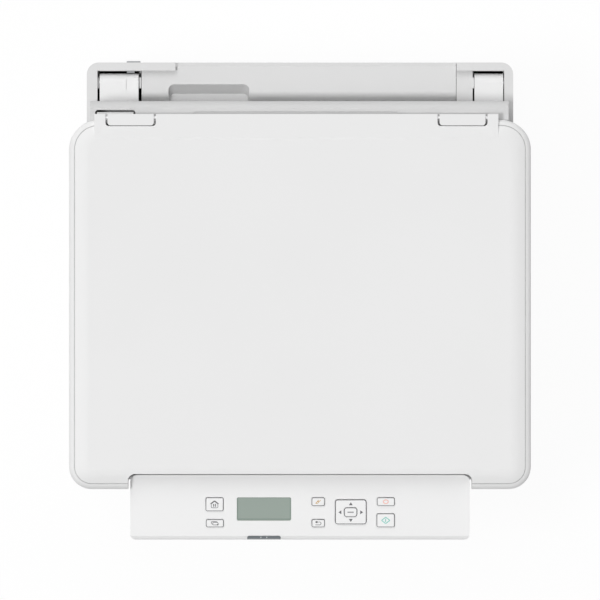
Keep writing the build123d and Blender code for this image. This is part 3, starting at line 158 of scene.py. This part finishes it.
def moulded(name, colour, rough, grain, bump, vary, coat=0.0, metal=0.0, stretch=(1, 1, 1)):
    """Moulded or coated surface: fine grain in the normal, faint variation in colour and roughness."""
    material, nodes, links, bsdf = shader(name)
    where = nodes.new("ShaderNodeTexCoord")
    scale = nodes.new("ShaderNodeMapping")
    scale.inputs["Scale"].default_value = stretch
    links.new(where.outputs["Object"], scale.inputs["Vector"])
    fine = nodes.new("ShaderNodeTexNoise")
    fine.inputs["Scale"].default_value = grain
    fine.inputs["Detail"].default_value = 2.0
    broad = nodes.new("ShaderNodeTexNoise")
    broad.inputs["Scale"].default_value = BLOTCH_SCALE
    broad.inputs["Detail"].default_value = 3.0
    links.new(scale.outputs["Vector"], fine.inputs["Vector"])
    links.new(scale.outputs["Vector"], broad.inputs["Vector"])
    ramp = nodes.new("ShaderNodeValToRGB")
    low = [max(0.0, c * (1 - vary)) for c in colour]
    high = [min(1.0, c * (1 + vary)) for c in colour]
    ramp.color_ramp.elements[0].position = 0.35
    ramp.color_ramp.elements[0].color = (*low, 1)
    ramp.color_ramp.elements[1].position = 0.65
    ramp.color_ramp.elements[1].color = (*high, 1)
    links.new(broad.outputs["Fac"], ramp.inputs["Fac"])
    links.new(ramp.outputs["Color"], bsdf.inputs["Base Color"])
    rough_range = nodes.new("ShaderNodeMapRange")
    rough_range.inputs["To Min"].default_value = max(0.02, rough - ROUGH_SWING)
    rough_range.inputs["To Max"].default_value = min(1.0, rough + ROUGH_SWING)
    links.new(fine.outputs["Fac"], rough_range.inputs["Value"])
    links.new(rough_range.outputs["Result"], bsdf.inputs["Roughness"])
    relief = nodes.new("ShaderNodeBump")
    relief.inputs["Strength"].default_value = bump
    relief.inputs["Distance"].default_value = GRAIN_DEPTH
    links.new(fine.outputs["Fac"], relief.inputs["Height"])
    links.new(relief.outputs["Normal"], bsdf.inputs["Normal"])
    bsdf.inputs["Metallic"].default_value = metal
    bsdf.inputs["Coat Weight"].default_value = coat
    return material


def clear(name, colour):
    """Thin clear glass with a trace of smear in its roughness."""
    material, nodes, links, bsdf = shader(name)
    where = nodes.new("ShaderNodeTexCoord")
    smear = nodes.new("ShaderNodeTexNoise")
    smear.inputs["Scale"].default_value = 14.0
    links.new(where.outputs["Object"], smear.inputs["Vector"])
    spread = nodes.new("ShaderNodeMapRange")
    spread.inputs["To Min"].default_value = 0.01
    spread.inputs["To Max"].default_value = 0.05
    links.new(smear.outputs["Fac"], spread.inputs["Value"])
    links.new(spread.outputs["Result"], bsdf.inputs["Roughness"])
    bsdf.inputs["Base Color"].default_value = (*colour, 1)
    bsdf.inputs["Transmission Weight"].default_value = 0.95
    bsdf.inputs["IOR"].default_value = 1.45
    return material


def screen(name, colour):
    """Display film: very fine cell pattern under a satin window."""
    material, nodes, links, bsdf = shader(name)
    where = nodes.new("ShaderNodeTexCoord")
    cells = nodes.new("ShaderNodeTexChecker")
    cells.inputs["Scale"].default_value = 2200.0
    cells.inputs["Color1"].default_value = (*[c * 0.985 for c in colour], 1)
    cells.inputs["Color2"].default_value = (*colour, 1)
    links.new(where.outputs["Object"], cells.inputs["Vector"])
    links.new(cells.outputs["Color"], bsdf.inputs["Base Color"])
    bsdf.inputs["Roughness"].default_value = 0.28
    bsdf.inputs["Coat Weight"].default_value = 0.3
    bsdf.inputs["Coat Roughness"].default_value = 0.08
    return material


# Finishes: name, colour, roughness, grain, relief and variation, then coat, metal and stretch if any
finishes = {
    "lid": moulded("lid_plastic", LID_WHITE, 0.55, 1500.0, 0.10, 0.006),
    "body": moulded("body_plastic", BODY_WHITE, 0.58, 1300.0, 0.16, 0.008),
    # the top frame's darker white is painted shade on the bar behind the lid
    "frame": moulded("frame_plastic_painted_shade", BAR_SHADED_WHITE, 0.58, 1300.0, 0.16, 0.008),
    "panel": moulded("panel_plastic", PANEL_WHITE, 0.5, 1900.0, 0.08, 0.006),
    "key": moulded("key_plastic", KEY_WHITE, 0.42, 2400.0, 0.05, 0.01),
    "hinge": moulded("hinge_plastic", (0.79, 0.79, 0.79), 0.45, 1700.0, 0.08, 0.01),
    "grey": moulded("grey_plastic", (0.36, 0.37, 0.38), 0.5, 1700.0, 0.12, 0.03),
    "black": moulded("black_plastic", (0.018, 0.018, 0.02), 0.5, 1500.0, 0.15, 0.10),
    "resin": moulded("gear_resin", (0.70, 0.68, 0.62), 0.4, 2200.0, 0.06, 0.03),
    "steel": moulded("zinc_steel", (0.55, 0.56, 0.58), 0.34, 900.0, 0.08, 0.05, 0.0, 1.0, (0.06, 1, 1)),
    "rubber": moulded("black_rubber", (0.022, 0.022, 0.022), 0.85, 2600.0, 0.3, 0.15),
    "tyre": moulded("roller_rubber", (0.10, 0.10, 0.105), 0.8, 2400.0, 0.25, 0.08),
    "foam": moulded("foam_sponge", (0.05, 0.05, 0.052), 0.9, 1400.0, 0.4, 0.2),
    "drum": moulded("drum_coating", (0.05, 0.20, 0.26), 0.14, 600.0, 0.02, 0.03, 0.6),
    "board": moulded("board_green", (0.012, 0.10, 0.045), 0.35, 1200.0, 0.10, 0.12, 0.3),
    "lcd": screen("display_film", (0.315, 0.375, 0.335)),
    "lamp": moulded("lamp_lens", (0.165, 0.185, 0.20), 0.25, 2500.0, 0.03, 0.03, 0.5),
    "glass": clear("platen_glass", (0.93, 0.97, 0.96)),
    "pad": moulded("white_pad", (0.86, 0.86, 0.85), 0.75, 2600.0, 0.10, 0.01),
}

# Nodes that wear each finish
worn_by = {
    "lid": ["lid_cover"],
    "body": ["left_cover", "right_cover", "front_cover", "rear_housing", "rear_cover", "scanner_base",
             "toner_cover", "tray_door", "exit_guide"],
    "frame": ["scanner_top_frame"],
    "panel": ["panel_housing"],
    "key": ["home_key", "id_copy_key", "reset_key", "back_key", "stop_key", "start_key", "ok_key", "nav_ring",
            "power_button"],
    "hinge": ["lid_hinge_legs", "scanner_hinge_arms"],
    "grey": ["hinge_stop", "paper_stop", "paper_guide_left", "paper_guide_right"],
    "black": ["bottom_frame", "fuser_housing", "laser_unit", "toner_cartridge", "image_sensor", "power_inlet",
              "fan_frame", "cooling_fan", "nav_frame", "guide_pinion", "carriage_belt", "lid_inner_plate"],
    "resin": ["idler_gear", "motor_pinion"],
    "steel": ["side_frames", "scanner_hinge_pins", "carriage_rod", "drive_motor", "lift_plate"],
    "rubber": ["rubber_feet"],
    "tyre": ["feed_roller", "pressure_roller", "delivery_roller"],
    "foam": ["transfer_roller"],
    "drum": ["drum", "heat_roller"],
    "board": ["main_board", "panel_board", "power_supply"],
    "lcd": ["lcd_window"],
    "lamp": ["led_lens"],
    "glass": ["platen_glass"],
    "pad": ["lid_pad"],
}


def dress_nodes():
    """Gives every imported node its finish."""
    for finish, names in worn_by.items():
        for name in names:
            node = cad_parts[name]
            for place in node.material_slots:
                place.material = finishes[finish]


def lid_inset(x, y):
    """Distance in millimetres from the lid's rounded outline to a point inside it."""
    x = abs(x)
    radius = FRONT_RADIUS if y < 0 else BACK_RADIUS
    edge = y - LID_FRONT if y < 0 else LID_BACK - y
    side = LID_HALF - x
    if side < radius and edge < radius:
        return radius - math.hypot(radius - side, radius - edge)
    return min(side, edge)


def own_piece(name, mesh, material, body):
    """An object made from a finished mesh, on its body."""
    data = bpy.data.meshes.new(name)
    mesh.to_mesh(data)
    mesh.free()
    data.materials.append(material)
    piece = bpy.data.objects.new(name, data)
    bpy.context.collection.objects.link(piece)
    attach(piece, body)
    return piece


def lid_mesh():
    """The lid cover's mesh, welded."""
    mesh = bmesh.new()
    mesh.from_mesh(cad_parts["lid_cover"].data)
    bmesh.ops.remove_doubles(mesh, verts=mesh.verts, dist=WELD * MM)
    return mesh


def even_lid():
    """The lid's shell again: points near the even roll-off move onto it, so it runs into the flat top."""
    mesh = lid_mesh()
    for vert in mesh.verts:
        inset = lid_inset(vert.co.x / MM, vert.co.y / MM)
        level = LID_TOP - ROLL_DROP * MM * (1 - inset / ROLL_END) ** 2
        if ROLL_START < inset < ROLL_END and abs(vert.co.z - level) < ROLL_REACH * MM:
            vert.co.z = level
    for edge in mesh.edges:
        edge.smooth = not edge.is_manifold or edge.calc_face_angle(0.0) < CREASE
    for face in mesh.faces:
        face.smooth = True
    piece = own_piece("lid_shell", mesh, finishes["lid"], "lid")
    even = piece.modifiers.new("even", "WEIGHTED_NORMAL")
    even.keep_sharp = True
    even.weight = 80
    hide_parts("lid_cover")


def panel_point(x, y, lift):
    """A point over the panel's sloping face, lifted square to it."""
    z = PANEL_REAR_Z + (y - PANEL_REAR_Y) * math.tan(PANEL_TILT)
    return Vector((x, y - lift * math.sin(PANEL_TILT), z + lift * math.cos(PANEL_TILT)))


def mark_colour(name, colour):
    """Printed ink, slightly uneven; also the painted shade in the lid's groove."""
    return moulded(name, colour, 0.55, 3000.0, 0.03, 0.04)


inks = {
    # grey ink, also used for the painted shade along the key edges
    "grey": mark_colour("ink_and_painted_shade_grey", PRINT_AND_SHADE_GREY),
    "mid": mark_colour("ink_mid", (0.30, 0.30, 0.31)),
    "moss": mark_colour("ink_moss", (0.235, 0.295, 0.255)),
    "orange": mark_colour("ink_orange", (0.62, 0.36, 0.08)),
    "red": mark_colour("ink_red", (0.95, 0.50, 0.43)),
    "teal": mark_colour("ink_teal", (0.26, 0.66, 0.58)),
    "pale": mark_colour("ink_pale", (0.62, 0.64, 0.65)),
    # painted shade for the groove floor round the lid, not a printed ink
    "groove_painted_shade": mark_colour("groove_shade", (0.50, 0.50, 0.50)),
}


def thicken(mesh, faces, up, keep=False):
    """Gives flat faces the thickness of a print, along a vector."""
    grown = bmesh.ops.extrude_face_region(mesh, geom=faces, use_keep_orig=keep)
    top = [item for item in grown["geom"] if isinstance(item, bmesh.types.BMVert)]
    bmesh.ops.translate(mesh, verts=top, vec=up)


def printed(name, shapes, centre, ink, body, lift):
    """Thin marks on the panel, printed ones and strips of painted shade: closed outlines in millimetres about
    a plan centre.
    """
    mesh = bmesh.new()
    up = panel_point(0, 0, MARK_THICK) - panel_point(0, 0, 0)
    for outline in shapes:
        low = [mesh.verts.new(panel_point(centre[0] + x * MM, centre[1] + y * MM, lift)) for x, y in outline]
        thicken(mesh, [mesh.faces.new(low)], up)
    bmesh.ops.recalc_face_normals(mesh, faces=mesh.faces)
    own_piece(name, mesh, inks[ink], body)


def bar(x0, y0, x1, y1, thick):
    """A straight stroke of a given thickness."""
    along = Vector((x1 - x0, y1 - y0)).normalized() * thick / 2
    side = Vector((-along.y, along.x))
    return [(x0 - side.x, y0 - side.y), (x1 - side.x, y1 - side.y), (x1 + side.x, y1 + side.y),
            (x0 + side.x, y0 + side.y)]


def ring_strokes(points, thick):
    """A closed outline drawn as strokes."""
    return [bar(*a, *b, thick) for a, b in zip(points, points[1:] + points[:1])]


def path_strokes(points, thick):
    """An open line drawn as strokes."""
    return [bar(*a, *b, thick) for a, b in zip(points, points[1:])]


def round_points(radius, count, squash):
    """Points evenly round a circle, its height squashed."""
    turns = [2 * math.pi * (index + 0.5) / count for index in range(count)]
    return [(radius * math.cos(turn), radius * squash * math.sin(turn)) for turn in turns]


def plan_centre(box):
    """Middle of a plan box, in metres."""
    return ((box[0] + box[1]) / 2 * MM, (box[2] + box[3]) / 2 * MM)


def key_mark(name, key, shapes, ink):
    """A printed mark in the middle of a key."""
    printed(name, shapes, plan_centre(KEY_BOXES[key]), ink, key + "_body", KEY_RISE + MARK_LIFT)


def home_mark():
    """A small house: a roof over a rounded box with two bars."""
    roof = path_strokes([(-3.3, 0.3), (0.0, 2.8), (3.3, 0.3)], 1.0)
    walls = path_strokes([(-2.8, 0.4), (-2.8, -2.3), (-2.2, -2.9), (2.2, -2.9), (2.8, -2.3), (2.8, 0.4)], 0.6)
    bars = [bar(x, -2.0, x, 0.4, 0.8) for x in (-0.8, 0.8)]
    key_mark("home_roof", "home_key", roof, "grey")
    key_mark("home_walls", "home_key", walls, "mid")
    key_mark("home_bars", "home_key", bars, "grey")


def cards_mark():
    """Two overlapping cards."""
    back = path_strokes([(-1.6, -1.1), (-2.9, -0.1), (-2.9, 1.4), (1.5, 1.4), (2.2, 0.9)], 0.65)
    front = ring_strokes([(-1.6, -1.4), (2.8, -1.4), (2.8, 0.2), (2.1, 0.8), (-1.6, 0.8)], 0.6)
    corner = [[(1.2, -1.6), (3.0, -1.6), (3.0, 0.1)]]
    key_mark("card_back", "id_copy_key", back, "mid")
    key_mark("card_front", "id_copy_key", front, "mid")
    key_mark("card_corner", "id_copy_key", corner, "grey")


def reset_mark():
    """Slanting strokes with a short bar across."""
    strokes = [bar(-2.2 + shift, -1.4, 0.4 + shift, 1.5, 0.42) for shift in (0, 1.7)]
    across = [bar(-2.2, -1.4, -0.6, -1.4, 0.42), bar(-0.7, 0.1, 0.9, 0.1, 0.42)]
    key_mark("reset_strokes", "reset_key", strokes + across, "orange")


def back_mark():
    """An arrow that turns back on itself."""
    line = path_strokes([(-1.6, 1.0), (1.5, 1.0), (2.3, 0.4), (2.3, -0.7), (1.6, -1.4), (-2.4, -1.4)], 0.6)
    head = [[(-2.9, 1.0), (-0.8, -0.1), (-0.8, 2.1)]]
    key_mark("back_line", "back_key", line, "mid")
    key_mark("back_head", "back_key", head, "grey")


def arrow_marks():
    """Four triangles on the rocking ring."""
    corners = ((-1.6, -1.1), (1.6, -1.1), (0.0, 1.3))
    shapes = []
    for x, y, turn in ((0, 6.8, 0), (-9.1, -0.3, 90), (0, -7.1, 180), (9.1, -0.3, 270)):
        cosine = math.cos(math.radians(turn))
        sine = math.sin(math.radians(turn))
        shapes.append([(x + u * cosine - v * sine, y + u * sine + v * cosine) for u, v in corners])
    printed("arrow_marks", shapes, plan_centre(RING_BOX), "grey", "nav_key", RING_RISE + MARK_LIFT)


def screen_edge():
    """Darker edge of the display."""
    low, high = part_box("lcd_window")
    centre = ((low[0] + high[0]) / 2, (low[1] + high[1]) / 2)
    half_x = (high[0] - low[0]) / 2 / MM - 2.6
    half_y = 9.35
    corners = [(-half_x, -half_y), (half_x, -half_y), (half_x, half_y), (-half_x, half_y)]
    printed("screen_edge", ring_strokes(corners, 1.1), centre, "moss", "scanner", MARK_LIFT - SCREEN_DROP)


def lamp_lights():
    """Two small lights in the lamp lens."""
    low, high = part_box("led_lens")
    middle = ((low[0] + high[0]) / 2, high[1] - 1.3 * MM)
    lights = [bar(x, -0.6, x, 0.6, 0.7) for x in (-2.6, 2.4)]
    printed("lamp_lights", lights, middle, "pale", "scanner", MARK_LIFT)


def corner_points(half_x, half_y, radius):
    """Points round a rounded rectangle."""
    points = []
    for x, y, start in ((1, 1, 0), (-1, 1, 90), (-1, -1, 180), (1, -1, 270)):
        for step in range(CORNER_STEPS):
            turn = math.radians(start + 90 * step / (CORNER_STEPS - 1))
            along = x * (half_x - radius) + radius * math.cos(turn)
            up = y * (half_y - radius) + radius * math.sin(turn)
            points.append((along, up))
    return points


def key_gap_shade(name, box, inset, radius, body, rise):
    """Painted shade just inside a key's edge: a dark border standing in for the shade in the gap round the
    key.
    """
    half_x = (box[1] - box[0]) / 2 - inset
    half_y = (box[3] - box[2]) / 2 - inset * math.cos(PANEL_TILT)
    outer = corner_points(half_x, half_y, radius)
    inner_corner = max(radius - GAP_SHADE_STROKE, LEAST_CORNER)
    inner = corner_points(half_x - GAP_SHADE_STROKE, half_y - GAP_SHADE_STROKE, inner_corner)
    count = len(outer)
    shapes = [[outer[i], outer[(i + 1) % count], inner[(i + 1) % count], inner[i]] for i in range(count)]
    printed(name + "_painted_gap_shade", shapes, plan_centre(box), "grey", body, rise + MARK_LIFT)


def groove_shade():
    """Painted shade on the floor of the groove round the lid: a thin darker strip lying in it."""
    mesh = lid_mesh()
    low = LID_TOP - GROOVE_DROP * MM
    spare = []
    for face in mesh.faces:
        flat = all(abs(vert.co.z - low) < GROOVE_FLATNESS * MM for vert in face.verts)
        insets = [lid_inset(vert.co.x / MM, vert.co.y / MM) for vert in face.verts]
        if not flat or min(insets) < GROOVE_OUTER or max(insets) > GROOVE_INNER:
            spare.append(face)
    bmesh.ops.delete(mesh, geom=spare, context="FACES")
    bmesh.ops.translate(mesh, verts=mesh.verts, vec=(0, 0, MARK_LIFT))
    thicken(mesh, mesh.faces[:], (0, 0, MARK_THICK), keep=True)
    bmesh.ops.recalc_face_normals(mesh, faces=mesh.faces)
    own_piece("groove_shade", mesh, inks["groove_painted_shade"], "lid")


def paint_gap_shade():
    """Painted shade along the edges of all keys and of the rocking ring, for the shade in the gaps round
    them.
    """
    for key, box in KEY_BOXES.items():
        key_gap_shade(key, box, GAP_SHADE_INSET, KEY_CORNER, key + "_body", KEY_RISE)
    key_gap_shade("ok_key", OK_BOX, GAP_SHADE_INSET, OK_CORNER, "ok_key_body", OK_RISE)
    key_gap_shade("nav_ring", RING_BOX, RING_GAP_SHADE_INSET, RING_CORNER, "nav_key", RING_RISE)


def ok_mark():
    """A short bar on the middle key."""
    stroke = [bar(-2.6, 0, 2.6, 0, 1.0)]
    printed("ok_bar", stroke, plan_centre(OK_BOX), "mid", "ok_key_body", OK_RISE + MARK_LIFT)


def stop_mark():
    """A flattened ring."""
    key_mark("stop_ring", "stop_key", ring_strokes(round_points(2.15, 8, 0.76), 0.7), "red")


def start_mark():
    """A diamond round an upright bar."""
    diamond = ring_strokes([(-3.5, 0), (0, -2.7), (3.5, 0), (0, 2.7)], 0.75)
    key_mark("start_diamond", "start_key", diamond, "teal")
    key_mark("start_bar", "start_key", [bar(0, -1.4, 0, 1.4, 0.8)], "teal")


def print_marks():
    """All printed marks on the panel, and the painted shade along the key edges."""
    paint_gap_shade()
    home_mark()
    cards_mark()
    reset_mark()
    back_mark()
    arrow_marks()
    screen_edge()
    lamp_lights()
    ok_mark()
    stop_mark()
    start_mark()


def camera():
    """Camera straight above, through a very long lens."""
    data = bpy.data.cameras.new("camera")
    data.lens = LENS
    data.sensor_width = SENSOR
    data.clip_end = CAMERA_REACH
    eye = bpy.data.objects.new("camera", data)
    bpy.context.collection.objects.link(eye)
    distance = LENS * VIEW_WIDTH / SENSOR
    eye.location = (0, 0, LID_TOP + distance)
    bpy.context.scene.camera = eye


def seen_rays(nodes, links):
    """One for rays that the camera sees directly, in a gloss or through glass."""
    path = nodes.new("ShaderNodeLightPath")
    gloss = nodes.new("ShaderNodeMath")
    gloss.operation = "MAXIMUM"
    through = nodes.new("ShaderNodeMath")
    through.operation = "MAXIMUM"
    links.new(path.outputs["Is Camera Ray"], gloss.inputs[0])
    links.new(path.outputs["Is Glossy Ray"], gloss.inputs[1])
    links.new(gloss.outputs[0], through.inputs[0])
    links.new(path.outputs["Is Transmission Ray"], through.inputs[1])
    return through.outputs[0]


def floor():
    """Pale floor that stays white to the camera and keeps a soft shadow."""
    bpy.ops.mesh.primitive_plane_add(size=FLOOR_SIZE)
    plane = bpy.context.object
    plane.name = "floor"
    material, nodes, links, bsdf = shader("floor_white")
    bsdf.inputs["Base Color"].default_value = (*FLOOR_WHITE, 1)
    bsdf.inputs["Roughness"].default_value = 0.9
    glow = nodes.new("ShaderNodeEmission")
    seen = nodes.new("ShaderNodeMath")
    seen.operation = "MULTIPLY"
    seen.inputs[1].default_value = FLOOR_GLOW
    mix = nodes.new("ShaderNodeMixShader")
    links.new(seen_rays(nodes, links), seen.inputs[0])
    links.new(seen.outputs[0], mix.inputs[0])
    links.new(bsdf.outputs[0], mix.inputs[1])
    links.new(glow.outputs[0], mix.inputs[2])
    links.new(mix.outputs[0], nodes["Material Output"].inputs["Surface"])
    plane.data.materials.append(material)


def light():
    """Even sky, a small high lamp from the front left and a broad one from the rear."""
    world = bpy.data.worlds.new("studio")
    bpy.context.scene.world = world
    world.use_nodes = True
    nodes = world.node_tree.nodes
    links = world.node_tree.links
    sky = nodes["Background"]
    sky.inputs["Color"].default_value = (1, 1, 1, 1)
    sky.inputs["Strength"].default_value = SKY_STRENGTH
    white = nodes.new("ShaderNodeBackground")
    white.inputs["Strength"].default_value = 1.0
    mix = nodes.new("ShaderNodeMixShader")
    links.new(seen_rays(nodes, links), mix.inputs[0])
    links.new(sky.outputs[0], mix.inputs[1])
    links.new(white.outputs[0], mix.inputs[2])
    links.new(mix.outputs[0], nodes["World Output"].inputs["Surface"])
    for name, energy, spread, travel in LAMPS:
        lamp = bpy.data.lights.new(name, "SUN")
        lamp.energy = energy
        lamp.angle = math.radians(spread)
        sun = bpy.data.objects.new(name, lamp)
        bpy.context.collection.objects.link(sun)
        sun.rotation_euler = Vector(travel).to_track_quat("-Z", "Y").to_euler()


dress_nodes()
even_lid()
groove_shade()
print_marks()
camera()
floor()
light()
bpy.context.scene.view_settings.view_transform = "Standard"
